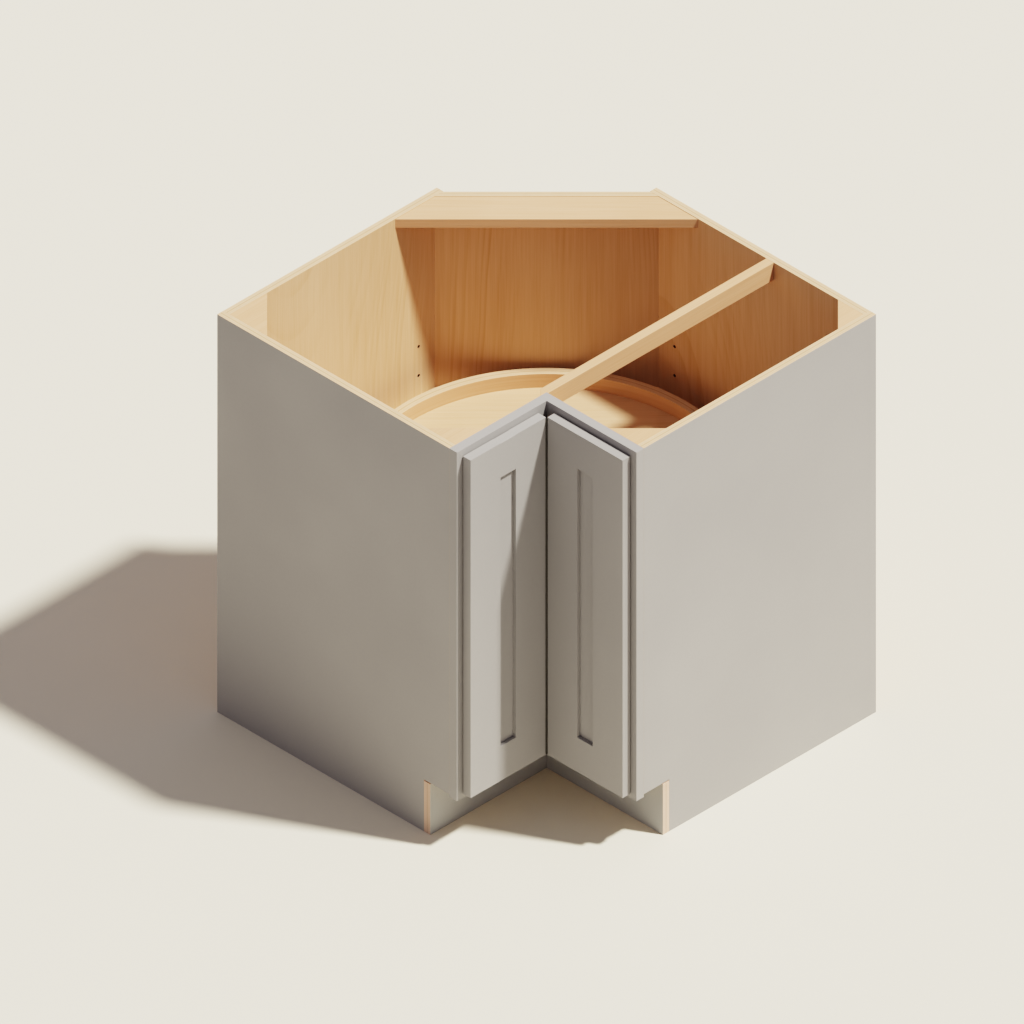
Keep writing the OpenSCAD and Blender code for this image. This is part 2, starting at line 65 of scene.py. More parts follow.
# How faces are told apart: angles between them, cosines between the ways they look, distances
SHARP = math.radians(40)           # edges that turn more than this are eased
SMOOTH = math.radians(50)          # shading runs on over edges that turn less than this
COPLANAR = math.radians(0.5)       # faces that turn less than this make one flat side
JOINED = math.radians(0.4)         # triangles that turn less than this become one face
SAME_WAY = 0.9999                  # two flat sides look the same way
STILL_FLAT = 0.9995                # a side looks as it did before its edges were eased
FACING = 0.9                       # a face looks a named way
SAME_PLACE = 0.001 * MM            # two points are one
TOUCHING = 0.05 * MM               # an edge lies against a neighbour
PIN_HOLE_MARGIN = 0.3 * MM         # a face in a pin hole lies further inside the board than this
PIN_HOLE_SPAN = 160 * MM           # the pin holes of a column lie within this height

# Relief of the wood's faces and of its cut edges, and how strongly any relief shows
WOOD_RELIEF = 0.06 * MM
EDGE_RELIEF = 0.08 * MM
BUMP_STRENGTH = 0.5
EDGE_ROUGHNESS = 0.6
PLY_VENEERS = 7

# Screws: head radius, head height, and the width of the head's underside as a share of the head
PAN_SCREW = (3.6 * MM, 1.8 * MM, 1.0)
SUNK_SCREW = (3.4 * MM, 1.3 * MM, 0.5)
SCREW_SHANK = 1.75 * MM
SCREW_RECESS = 1.05                # length of the cross recess, in head radii
SPIN_SEED = 7                      # each screw is driven to its own angle

# Shelf pins and door bumpers: the height of a shaped end, and the width of its tip as a share
PIN_END = (0.6 * MM, 0.75)
BUMPER_END = (0.5 * MM, 0.8)
PIN_REACH = 10 * MM                # a pin is longer than this along the way that it points

FLOOR_REACH = 2.4                  # metres from the middle to each side of the floor

# Colours, as scene-linear reflectances
PAINT = (0.330, 0.317, 0.309)
# Toe boards: the grey paint made lighter than PAINT, as painted bounce light on these shaded boards
TOE_PAINT_PLUS_PAINTED_BOUNCE = (0.405, 0.405, 0.395)
MAPLE_LIGHT = (0.678, 0.452, 0.276)
MAPLE_DARK = (0.548, 0.335, 0.177)
SOLID_LIGHT = (0.690, 0.425, 0.252)
SOLID_DARK = (0.560, 0.312, 0.162)
EDGE_LIGHT = (0.670, 0.462, 0.290)
EDGE_DARK = (0.490, 0.310, 0.170)
RAW_END_LIGHT = (0.655, 0.468, 0.365)
RAW_END_DARK = (0.478, 0.314, 0.214)
# Inside the shelf pin holes: painted shade, much darker than their end grain
PIN_HOLE_PAINTED_SHADE = (0.110, 0.055, 0.025)
STEEL = (0.620, 0.630, 0.640)
# Fold hinge: a dark bronze finish, made near-black so that the hinge also shows as the shade in the
# door gap; partly painted shade
BRONZE_AND_GAP_SHADE = (0.050, 0.045, 0.040)
PLASTIC = (0.780, 0.770, 0.740)
SOFT_DOT = (0.700, 0.700, 0.680)
FLOOR = (0.770, 0.715, 0.585)

# Light: the way towards the sun, its strength, width and colour, and the room's soft light
SUN_WAY = Vector((0.548, 0.326, 1.0)).normalized()
SUN_STRENGTH = 5.75
SUN_WIDTH = math.radians(4)
SUN_COLOUR = (1.0, 0.968, 0.880)
ROOM_LIGHT = (0.332, 0.308, 0.330, 1)
ROOM_SEEN = (1.51, 1.353, 1.017, 1)      # as bright as the sunlit floor, which it continues

# Camera: the point it looks at, along and up the picture, and the width of the picture
VIEW_ALONG = -0.06225
VIEW_UP = 0.3598
VIEW_WIDTH = 1.8423
VIEW_DISTANCE = 5
VIEW_END = 100


# ---------------------------------------------------------------- node building

class Maker:
    """Adds nodes to a tree. Each call returns the new node's output socket."""

    def __init__(self, tree):
        self.tree = tree

    def node(self, kind, **settings):
        made = self.tree.nodes.new(kind)
        for name, value in settings.items():
            setattr(made, name, value)
        return made

    def feed(self, socket, value):
        if isinstance(value, bpy.types.NodeSocket):
            self.tree.links.new(value, socket)
        elif isinstance(value, (tuple, Vector)) and socket.type == "RGBA":
            socket.default_value = (*value, 1)
        else:
            socket.default_value = value

    def math(self, operation, *values):
        made = self.node("ShaderNodeMath", operation=operation)
        for socket, value in zip(made.inputs, values):
            self.feed(socket, value)
        return made.outputs[0]

    def vector(self, operation, *values):
        made = self.node("ShaderNodeVectorMath", operation=operation)
        for socket, value in zip(made.inputs, values):
            self.feed(socket, value)
        return made.outputs["Value" if operation in ("DOT_PRODUCT", "LENGTH") else "Vector"]

    def join(self, x, y, z):
        made = self.node("ShaderNodeCombineXYZ")
        for socket, value in zip(made.inputs, (x, y, z)):
            self.feed(socket, value)
        return made.outputs[0]

    def split(self, vector):
        made = self.node("ShaderNodeSeparateXYZ")
        self.feed(made.inputs[0], vector)
        return made.outputs

    def noise(self, position, stretch, detail=2.0, roughness=0.5):
        """Noise from 0 to 1, with its own scale along each axis."""
        made = self.node("ShaderNodeTexNoise")
        self.feed(made.inputs["Vector"], self.vector("MULTIPLY", position, stretch))
        made.inputs["Scale"].default_value = 1.0
        made.inputs["Detail"].default_value = detail
        made.inputs["Roughness"].default_value = roughness
        return made.outputs[0]

    def band(self, value, low, high, to_low=0.0, to_high=1.0):
        """The value taken smoothly from one range to another, clamped at both ends."""
        made = self.node("ShaderNodeMapRange", interpolation_type="SMOOTHSTEP")
        self.feed(made.inputs["Value"], value)
        for name, number in zip(("From Min", "From Max", "To Min", "To Max"),
                                (low, high, to_low, to_high)):
            self.feed(made.inputs[name], number)
        return made.outputs["Result"]

    def mix(self, share, first, second):
        """From the first colour to the second. The colour sockets come after the other kinds."""
        made = self.node("ShaderNodeMix", data_type="RGBA")
        self.feed(made.inputs["Factor"], share)
        self.feed(made.inputs[6], first)
        self.feed(made.inputs[7], second)
        return made.outputs[2]

    def group(self, tree, **inputs):
        made = self.node("ShaderNodeGroup", node_tree=tree)
        for name, value in inputs.items():
            self.feed(made.inputs[name.replace("_", " ")], value)
        return made.outputs


def new_group(name, inputs, outputs):
    """An empty shader group; inputs and outputs are (name, kind, default) and (name, kind)."""
    kinds = {"float": "NodeSocketFloat", "vector": "NodeSocketVector", "color": "NodeSocketColor"}
    tree = bpy.data.node_groups.new(name, "ShaderNodeTree")
    for title, kind, default in inputs:
        socket = tree.interface.new_socket(title, in_out="INPUT", socket_type=kinds[kind])
        if default is not None:
            socket.default_value = (*default, 1) if kind == "color" else default
    for title, kind in outputs:
        tree.interface.new_socket(title, in_out="OUTPUT", socket_type=kinds[kind])
    maker = Maker(tree)
    return maker, maker.node("NodeGroupInput").outputs, maker.node("NodeGroupOutput").inputs


# ---------------------------------------------------------------- shared effects

def wood_figure_group():
    """Flat-sawn maple: growth lines cut at a slant, soft mottle and fine fibres.

    Position is (across the grain, into the board, along the grain), in metres."""
    maker, given, out = new_group(
        "wood_figure",
        [("Position", "vector", None), ("Light", "color", MAPLE_LIGHT),
         ("Dark", "color", MAPLE_DARK), ("Figure", "float", 0.5),
         ("Line Spacing", "float", 9 * MM)],
        [("Color", "color"), ("Height", "float"), ("Gloss", "float")])
    position = given["Position"]
    across, into, along = maker.split(position)
    # Growth rings lie round a heart whose place and depth wander along the grain
    bend = maker.math("MULTIPLY_ADD", maker.noise(position, (1.6, 1.6, 0.6), 1.0), 0.22, -0.11)
    ripple = maker.math("MULTIPLY_ADD", maker.noise(position, (16, 16, 2.5), 2.0), 0.012, -0.006)
    heart = maker.noise(maker.join(0.37, 0.11, along), (1, 1, 0.9), 1.0)
    depth = maker.math("MULTIPLY_ADD", heart, 0.30, -0.09)
    sideways = maker.math("ADD", maker.math("ADD", across, bend), ripple)
    deep = maker.math("ADD", depth, into)
    radius = maker.vector("LENGTH", maker.join(sideways, deep, 0.0))
    # Some years grow more than others, and each ring darkens towards its end
    turns = maker.math("DIVIDE", radius, given["Line Spacing"])
    years = maker.noise(maker.join(turns, 0.0, 0.0), (0.37, 1, 1), 2.0)
    phase = maker.math("FRACT", maker.math("MULTIPLY_ADD", years, 4.0, turns))
    line = maker.math("MULTIPLY", maker.band(phase, 0.25, 0.85),
                      maker.band(phase, 0.88, 1.0, 1.0, 0.0))
    line = maker.math("MULTIPLY", line, maker.band(years, 0.35, 0.65, 0.25, 1.0))
    # Over them lie fine fibres, longer streaks and a broad soft mottle
    fibre = maker.noise(position, (420, 420, 7), 3.0, 0.6)
    streak = maker.noise(position, (90, 90, 1.6), 3.0)
    mottle = maker.noise(position, (5.5, 5.5, 1.8), 3.0)
    lines = maker.math("MULTIPLY", maker.math("MULTIPLY", line, given["Figure"]),
                       maker.band(maker.noise(position, (5, 5, 1.3), 2.0), 0.42, 0.62, 0.1, 1.0))
    soft = maker.math("ADD", maker.math("MULTIPLY", maker.band(fibre, 0.3, 0.72), 0.34),
                      maker.math("MULTIPLY", maker.band(streak, 0.3, 0.72), 0.24))
    broad = maker.math("MULTIPLY", maker.band(mottle, 0.3, 0.72), 0.30)
    share = maker.math("ADD", maker.math("ADD", lines, soft), broad)
    maker.feed(out["Color"], maker.mix(share, given["Light"], given["Dark"]))
    maker.feed(out["Height"], maker.math("SUBTRACT", maker.math("MULTIPLY", fibre, 0.6), lines))
    maker.feed(out["Gloss"], maker.band(share, 0.0, 1.0, 0.42, 0.60))
    return maker.tree


def ply_layers_group():
    """Veneers seen on a cut edge. Depth is the distance from one face of the sheet."""
    maker, given, out = new_group(
        "ply_layers",
        [("Position", "vector", None), ("Depth", "float", 0.0), ("Sheet", "float", 16 * MM),
         ("Layers", "float", 7.0), ("Light", "color", EDGE_LIGHT), ("Dark", "color", EDGE_DARK)],
        [("Color", "color"), ("Height", "float")])
    position = given["Position"]
    # Every second veneer shows its end grain, and glue lines lie between them
    wobble = maker.math("MULTIPLY_ADD", maker.noise(position, (14, 14, 14), 2.0),
                        0.5 * MM, -0.25 * MM)
    depth = maker.math("ADD", given["Depth"], wobble)
    level = maker.math("MULTIPLY", maker.math("DIVIDE", depth, given["Sheet"]), given["Layers"])
    phase = maker.math("FRACT", level)
    cross = maker.math("MODULO", maker.math("FLOOR", level), 2.0)
    glue = maker.math("SUBTRACT", 1.0, maker.math("MULTIPLY", maker.band(phase, 0.0, 0.10),
                                                  maker.band(phase, 0.90, 1.0, 1.0, 0.0)))
    pores = maker.noise(position, (900, 900, 900), 2.0, 0.6)
    patches = maker.noise(position, (30, 30, 30), 2.0)
    # The middle veneer is the darkest of them
    through = maker.math("DIVIDE", depth, given["Sheet"])
    middle = maker.math("ABSOLUTE", maker.math("SUBTRACT", through, 0.5))
    cross = maker.math("MULTIPLY", cross, maker.band(middle, 0.08, 0.16, 0.75, 0.18))
    share = maker.math("ADD", cross, maker.math("MULTIPLY", glue, 0.16))
    share = maker.math("ADD", share, maker.math("MULTIPLY", maker.band(pores, 0.35, 0.7), 0.18))
    share = maker.math("ADD", share, maker.math("MULTIPLY", maker.band(patches, 0.3, 0.7), 0.12))
    maker.feed(out["Color"], maker.mix(share, given["Light"], given["Dark"]))
    maker.feed(out["Height"], maker.math("SUBTRACT", maker.math("MULTIPLY", pores, -0.5), glue))
    return maker.tree


def surface_grain_group():
    """Small unevenness of a sprayed, moulded or plated surface."""
    maker, given, out = new_group(
        "surface_grain",
        [("Position", "vector", None), ("Tone", "color", PAINT), ("Grain Size", "float", 1.2 * MM),
         ("Variation", "float", 0.06), ("Rough Low", "float", 0.45), ("Rough High", "float", 0.6)],
        [("Color", "color"), ("Height", "float"), ("Roughness", "float")])
    position = given["Position"]
    fine = maker.noise(maker.vector("DIVIDE", position, given["Grain Size"]), (1, 1, 1), 3.0, 0.55)
    cloud = maker.noise(position, (4.0, 4.0, 4.0), 3.0)
    speck = maker.noise(position, (160, 160, 160), 2.0)
    lift = maker.math("ADD", maker.math("MULTIPLY", maker.band(cloud, 0.25, 0.75), 0.7),
                      maker.math("MULTIPLY", maker.band(speck, 0.3, 0.7), 0.3))
    shade = maker.math("SUBTRACT", 1.0, maker.math("MULTIPLY", lift, given["Variation"]))
    shades = maker.join(shade, shade, shade)
    maker.feed(out["Color"], maker.vector("MULTIPLY", given["Tone"], shades))
    maker.feed(out["Height"], fine)
    maker.feed(out["Roughness"],
               maker.band(cloud, 0.3, 0.7, given["Rough Low"], given["Rough High"]))
    return maker.tree


WOOD_FIGURE = wood_figure_group()
PLY_LAYERS = ply_layers_group()
SURFACE_GRAIN = surface_grain_group()


# ---------------------------------------------------------------- materials

def new_material(name):
    """A material with its maker, its shader and the piece's own coordinates."""
    material = bpy.data.materials.new(name)
    material.use_nodes = True
    maker = Maker(material.node_tree)
    shader = material.node_tree.nodes["Principled BSDF"]
    position = maker.node("ShaderNodeTexCoord").outputs["Object"]
    return material, maker, shader, position


def add_bump(maker, shader, height, depth):
    bump = maker.node("ShaderNodeBump")
    bump.inputs["Strength"].default_value = BUMP_STRENGTH
    bump.inputs["Distance"].default_value = depth
    maker.feed(bump.inputs["Height"], height)
    maker.feed(shader.inputs["Normal"], bump.outputs[0])


def along_axes(maker, position, across, into, along, shift):
    """Position turned into (across the grain, into the board, along the grain)."""
    turned = maker.join(*[maker.vector("DOT_PRODUCT", position, axis)
                          for axis in (across, into, along)])
    return maker.vector("ADD", turned, shift)


def around_axis(maker, position, radius, shift):
    """Position for bent wood: the grain runs round the turning axis, with its seam in the wedge."""
    forward = maker.vector("DOT_PRODUCT", position, -BACK_NORMAL)
    aside = maker.vector("DOT_PRODUCT", position, BACK_RUN)
    length = maker.math("MULTIPLY", maker.math("ARCTAN2", aside, forward), radius)
    height = maker.split(position)[2]
    out = maker.vector("LENGTH", maker.vector("MULTIPLY", position, (1, 1, 0)))
    return maker.vector("ADD", maker.join(height, out, length), shift)


def plain_axes(normal, grain):
    """Ways across the grain, into the board and along the grain."""
    return normal.cross(grain).normalized(), normal, grain


SHIFTS = {}


def next_shift(name):
    """Each board is cut from its own place in the tree: aside, deeper and along, in metres."""
    number = SHIFTS.setdefault(name, len(SHIFTS) + 1)
    return Vector((0.37 * number % 0.9 - 0.45, 0.021 * number % 0.06, 1.713 * number % 7.0))


def finish_maple(maker, shader, place, figure=0.5, light=MAPLE_LIGHT, dark=MAPLE_DARK):
    made = maker.group(WOOD_FIGURE, Position=place, Figure=figure, Light=light, Dark=dark)
    maker.feed(shader.inputs["Base Color"], made["Color"])
    maker.feed(shader.inputs["Roughness"], made["Gloss"])
    add_bump(maker, shader, made["Height"], WOOD_RELIEF)


def maple_face(name, normal, grain, figure=0.5, light=MAPLE_LIGHT, dark=MAPLE_DARK):
    material, maker, shader, position = new_material(name)
    across, into, along = plain_axes(normal, grain)
    place = along_axes(maker, position, across, into, along, next_shift(name))
    finish_maple(maker, shader, place, figure, light, dark)
    return material


def bent_maple(name, radius):
    material, maker, shader, position = new_material(name)
    place = around_axis(maker, position, radius, next_shift(name))
    finish_maple(maker, shader, place, figure=0.35, light=SOLID_LIGHT, dark=SOLID_DARK)
    return material


def ply_edge(name, depth_of, sheet, light=EDGE_LIGHT, dark=EDGE_DARK):
    """Cut edge of a sheet; depth_of gives the depth below one face from the position."""
    material, maker, shader, position = new_material(name)
    made = maker.group(PLY_LAYERS, Position=position, Depth=depth_of(maker, position), Sheet=sheet,
                       Layers=PLY_VENEERS, Light=light, Dark=dark)
    maker.feed(shader.inputs["Base Color"], made["Color"])
    shader.inputs["Roughness"].default_value = EDGE_ROUGHNESS
    add_bump(maker, shader, made["Height"], EDGE_RELIEF)
    return material


def flat_depth(normal, start):
    """Depth in a flat sheet, from the face at the given place along its normal."""
    def depth_of(maker, position):
        return maker.math("SUBTRACT", maker.vector("DOT_PRODUCT", position, normal), start)
    return depth_of


def round_depth(radius):
    """Depth in a bent sheet, inwards from its outer radius."""
    def depth_of(maker, position):
        out = maker.vector("LENGTH", maker.vector("MULTIPLY", position, (1, 1, 0)))
        return maker.math("SUBTRACT", radius, out)
    return depth_of


def grained(name, tone, size, depth, variation, low, high, metallic=0.0):
    """Paint, plastic, rubber or plated metal."""
    material, maker, shader, position = new_material(name)
    made = maker.group(SURFACE_GRAIN, Position=position, Tone=tone, Grain_Size=size,
                       Variation=variation, Rough_Low=low, Rough_High=high)
    maker.feed(shader.inputs["Base Color"], made["Color"])
    maker.feed(shader.inputs["Roughness"], made["Roughness"])
    shader.inputs["Metallic"].default_value = metallic
    add_bump(maker, shader, made["Height"], depth)
    return material


# Name, tone, size and depth of the grain, variation of the tone, roughness from and to, metal
GREY_PAINT = grained("grey_paint", PAINT, 1.6 * MM, 0.05 * MM, 0.05, 0.46, 0.60)
# The toe boards' grey paint, lightened as painted bounce light
TOE_FINISH_PAINTED_BOUNCE = grained("toe_paint_painted_bounce", TOE_PAINT_PLUS_PAINTED_BOUNCE, 1.6 * MM, 0.05 * MM, 0.05, 0.50, 0.65)
ZINC_STEEL = grained("zinc_steel", STEEL, 0.7 * MM, 0.02 * MM, 0.12, 0.28, 0.42, 1.0)
DARK_BRONZE_AND_GAP_SHADE = grained("dark_bronze", BRONZE_AND_GAP_SHADE, 0.6 * MM, 0.02 * MM, 0.25, 0.35, 0.5, 0.6)
# Near-black for the pin holes' faces: painted shade over the darker end grain
PAINTED_HOLE_SHADE = grained("pin_hole_painted_shade", PIN_HOLE_PAINTED_SHADE, 0.6 * MM, 0.05 * MM, 0.2, 0.7, 0.8)
WHITE_PLASTIC = grained("white_plastic", PLASTIC, 0.5 * MM, 0.02 * MM, 0.04, 0.40, 0.5)
SOFT_DOTS = grained("soft_dots", SOFT_DOT, 0.8 * MM, 0.02 * MM, 0.05, 0.30, 0.4)


# ---------------------------------------------------------------- eased pieces

def merged_copy(node):
    """The node's mesh with its triangles joined into flat faces, as a bmesh."""
    made = bmesh.new()
    made.from_mesh(frame["nodes"][node].data)
    bmesh.ops.remove_doubles(made, verts=made.verts, dist=SAME_PLACE)
    bmesh.ops.dissolve_limit(made, angle_limit=JOINED, use_dissolve_boundaries=False,
                             verts=made.verts, edges=made.edges)
    return made


def add_object(name, mesh):
    made = bpy.data.objects.new(name, mesh)
    bpy.context.scene.collection.objects.link(made)
    return made


def apply_modifiers(piece):
    """Turns what the modifiers make into the piece's plain mesh."""
    shown = piece.evaluated_get(bpy.context.evaluated_depsgraph_get())
    mesh = bpy.data.meshes.new_from_object(shown)
    piece.modifiers.clear()
    piece.data = mesh
    mesh.name = piece.name


def body_of_node(node):
    for body, members in frame["record"]["behaviour"]["bodies"].items():
        if node in members:
            return body


def stand_for(piece, node):
    """Rides and replaced node of a piece made in place of one CAD node."""
    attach(piece, body_of_node(node))
    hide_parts(node)


def mark_edges(work, neighbours):
    """Sharp edges are marked for easing, but for the stretches that lie against a neighbour."""
    boxes = [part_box(other) for other in neighbours]
    for box in boxes:
        for corner in box:
            for axis in (X, Y, Z):
                bmesh.ops.bisect_plane(work, geom=[*work.verts, *work.edges, *work.faces],
                                       dist=SAME_PLACE, plane_co=axis * corner.dot(axis),
                                       plane_no=axis)
    marks = work.edges.layers.float.new("bevel_weight_edge")
    for edge in work.edges:
        middle = (edge.verts[0].co + edge.verts[1].co) / 2
        held = any(all(low[i] - TOUCHING < middle[i] < high[i] + TOUCHING for i in range(3))
                   for low, high in boxes)
        sharp = len(edge.link_faces) == 2 and edge.calc_face_angle() > SHARP
        edge[marks] = 1.0 if sharp and not held else 0.0


def mark_flats(work):
    """Faces that belong to no curved side are marked; returns the ways they look."""
    marks = work.faces.layers.int.new("flat")
    ways = []
    for face in work.faces:
        turns = [edge.calc_face_angle() for edge in face.edges if len(edge.link_faces) == 2]
        if all(turn < COPLANAR or turn > SHARP for turn in turns):
            face[marks] = 1
            if all(face.normal.dot(way) < SAME_WAY for way in ways):
                ways.append(face.normal.copy())
    return ways


def shade_flats(mesh, ways):
    """Flat sides are shaded flat, and the eased strips turn from one of them to the next."""
    marks = mesh.attributes["flat"].data
    flat = [marks[face.index].value and any(face.normal.dot(way) > STILL_FLAT for way in ways)
            for face in mesh.polygons]
    sides = {}
    for face in mesh.polygons:
        if flat[face.index]:
            for vertex in face.vertices:
                sides.setdefault(vertex, []).append(face.normal.copy())
    normals = [corner.vector.copy() for corner in mesh.corner_normals]
    for face in mesh.polygons:
        for corner, vertex in zip(face.loop_indices, face.vertices):
            near = [side for side in sides.get(vertex, ())
                    if side.dot(face.normal) > math.cos(SMOOTH)]
            if flat[face.index]:
                normals[corner] = face.normal.copy()
            elif near:
                normals[corner] = max(near, key=face.normal.dot)
    mesh.normals_split_custom_set(normals)
    mesh.attributes.remove(mesh.attributes["flat"])


def eased(node, width, finishes, segments=2, neighbours=()):
    """The node with eased edges. finishes is a list of (test on the face, material)."""
    work = merged_copy(node)
    mark_edges(work, neighbours)
    ways = mark_flats(work)
    for face in work.faces:
        for index, (fits, _) in enumerate(finishes):
            if fits(face.normal, face.calc_center_median()):
                face.material_index = index
                break
    mesh = bpy.data.meshes.new("finished_" + node)
    work.to_mesh(mesh)
    work.free()
    piece = add_object("finished_" + node, mesh)
    for _, material in finishes:
        mesh.materials.append(material)
    bevel = piece.modifiers.new("ease", "BEVEL")
    bevel.width = width
    bevel.segments = segments
    bevel.limit_method = "WEIGHT"
    apply_modifiers(piece)
    piece.data.shade_smooth()
    piece.data.set_sharp_from_angle(angle=SMOOTH)
    smooth = piece.modifiers.new("even shading", "WEIGHTED_NORMAL")
    smooth.keep_sharp = True
    apply_modifiers(piece)
    shade_flats(piece.data, ways)
    stand_for(piece, node)
    return piece


def always(normal, centre):
    """Every face that is left."""
    return True


def facing(direction):
    """Faces that look the given way."""
    return lambda normal, centre: normal.dot(direction) > FACING


def facing_either(direction):
    """Faces that look the given way or the other way round."""
    return lambda normal, centre: abs(normal.dot(direction)) > FACING


def sheet_of(node, normal):
    """Where a board starts along its normal, and how thick it is there."""
    reach = [Vector(v.co).dot(normal) for v in frame["nodes"][node].data.vertices]
    return min(reach), max(reach) - min(reach)


def sheet_edge(node, normal, light, dark):
    """Cut edges of a flat board, with its veneers counted along its normal."""
    start, thickness = sheet_of(node, normal)
    return ply_edge("ply_edge_" + node, flat_depth(normal, start), thickness, light, dark)


def in_pin_holes(node):
    """Faces of the shelf pin holes: well inside the board, and at the holes' heights."""
    low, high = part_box(node)
    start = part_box("shelf_pins")[0].z - 1 * MM
    end = start + PIN_HOLE_SPAN
    return lambda normal, centre: start < centre.z < end and all(
        low[i] + PIN_HOLE_MARGIN < centre[i] < high[i] - PIN_HOLE_MARGIN for i in range(3))


def ply_board(node, normal, grain, painted=None, paint=GREY_PAINT, figure=0.4,
              width=BOARD_EASE, shade_pin_holes=False, edge=(EDGE_LIGHT, EDGE_DARK)):
    """A plywood board: maple faces, cut edges, paint on the side that is named, and painted shade
    in its pin holes when shade_pin_holes is set.
    """
    # The pin holes' faces are made near-black: painted shade
    finishes = [(in_pin_holes(node), PAINTED_HOLE_SHADE)] if shade_pin_holes else []
    if painted:
        finishes.append((facing(painted), paint))
    finishes.append((facing_either(normal), maple_face("maple_" + node, normal, grain, figure)))
    finishes.append((always, sheet_edge(node, normal, *edge)))
    return eased(node, width, finishes)


def solid_board(node, normal, grain, figure=0.2):
    wood = maple_face("maple_" + node, normal, grain, figure, SOLID_LIGHT, SOLID_DARK)
    return eased(node, BOARD_EASE, [(always, wood)])


def painted_board(node, width, bare=None, grain=Z, neighbours=()):
    """A painted board, with its back left as bare maple where that is named."""
    finishes = []
    if bare:
        finishes.append((facing(bare), maple_face("maple_" + node, bare, grain, 0.2)))
    finishes.append((always, GREY_PAINT))
    return eased(node, width, finishes, neighbours=neighbours)


def carcass():
    ply_board("left_end_panel", Y, Z, painted=-Y, width=PANEL_EASE, shade_pin_holes=True)
    ply_board("right_end_panel", X, Z, painted=X, width=PANEL_EASE, shade_pin_holes=True)
    ply_board("left_wall_panel", X, Z, shade_pin_holes=True)
    ply_board("rear_wall_panel", Y, Z, shade_pin_holes=True)
    ply_board("diagonal_back_panel", BACK_NORMAL, Z, figure=0.8)
    ply_board("cabinet_floor", Z, Y)
    ply_board("fixed_shelf", Z, Y)
    raw = (RAW_END_LIGHT, RAW_END_DARK)
    # Both toe boards take the lightened grey: painted bounce light
    ply_board("left_toe_board", X, Y, painted=X, paint=TOE_FINISH_PAINTED_BOUNCE, edge=raw)
    ply_board("right_toe_board", Y, X, painted=-Y, paint=TOE_FINISH_PAINTED_BOUNCE, edge=raw)
    solid_board("rear_corner_brace", Z, BACK_RUN)
    solid_board("cross_rail", X, Y)
    solid_board("corner_blocks", Z, Y)
    solid_board("floor_cleats", Z, X)


def face_frame():
    for side, other, front, run in (("left", "right", X, Y), ("right", "left", -Y, X)):
        rails = [f"{side}_top_rail", f"{side}_bottom_rail"]
        painted_board(side + "_frame_stile", JOINT_EASE, bare=-front, neighbours=rails)
        for rail in ("top", "bottom"):
            painted_board(f"{side}_{rail}_rail", JOINT_EASE, bare=-front, grain=run,
                          neighbours=[side + "_frame_stile", f"{other}_{rail}_rail"])


def doors():
    for side in ("left", "right"):
        stiles = [f"{side}_door_outer_stile", f"{side}_door_inner_stile"]
        rails = [f"{side}_door_top_rail", f"{side}_door_bottom_rail"]
        for stile in stiles:
            painted_board(stile, DOOR_EASE, neighbours=rails)
        for rail in rails:
            painted_board(rail, DOOR_EASE, neighbours=stiles)
        painted_board(side + "_door_panel", JOINT_EASE)


def trays():
    rim_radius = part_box("upper_tray_rim")[1].y
    for level in ("upper", "lower"):
        node = level + "_tray_rim"
        thickness = rim_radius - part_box(level + "_tray_floor")[1].y
        ply_board(level + "_tray_floor", Z, BACK_RUN)
        eased(node, BOARD_EASE, [
            (facing_either(Z), ply_edge("ply_edge_" + node, round_depth(rim_radius), thickness)),
            (always, bent_maple("bent_" + node, rim_radius))])
        solid_board(level + "_tray_side_rims", Z, X, figure=0.3)


def metal_and_plastic():
    for node in ("hinge_arms", "hinge_cups", "catch_plate"):
        eased(node, STEEL_EASE, [(always, ZINC_STEEL)])
    for level in ("upper", "lower"):
        for ring in ("base", "top"):
            eased(f"{level}_bearing_{ring}", STEEL_EASE, [(always, ZINC_STEEL)])
        eased(level + "_ball_cage", CAGE_EASE, [(always, WHITE_PLASTIC)])
    # The fold hinge's near-black is partly painted shade of the gap between the doors
    for node in ("fold_hinge_right_leaf", "fold_hinge_left_leaf", "fold_hinge_pin"):
        eased(node, LEAF_EASE, [(always, DARK_BRONZE_AND_GAP_SHADE)])
    eased("magnetic_catch", CATCH_EASE, [(always, WHITE_PLASTIC)], segments=3)


# ---------------------------------------------------------------- repeated hardware

def new_shape_tree(name, inputs):
    """A geometry tree with named sizes; returns its maker, its inputs and its output."""
    kinds = {"float": "NodeSocketFloat", "int": "NodeSocketInt", "vector": "NodeSocketVector",
             "material": "NodeSocketMaterial"}
    tree = bpy.data.node_groups.new(name, "GeometryNodeTree")
    tree.interface.new_socket("Geometry", in_out="INPUT", socket_type="NodeSocketGeometry")
    for title, kind in inputs:
        tree.interface.new_socket(title, in_out="INPUT", socket_type=kinds[kind])
    tree.interface.new_socket("Geometry", in_out="OUTPUT", socket_type="NodeSocketGeometry")
    maker = Maker(tree)
    return maker, maker.node("NodeGroupInput").outputs, maker.node("NodeGroupOutput").inputs[0]


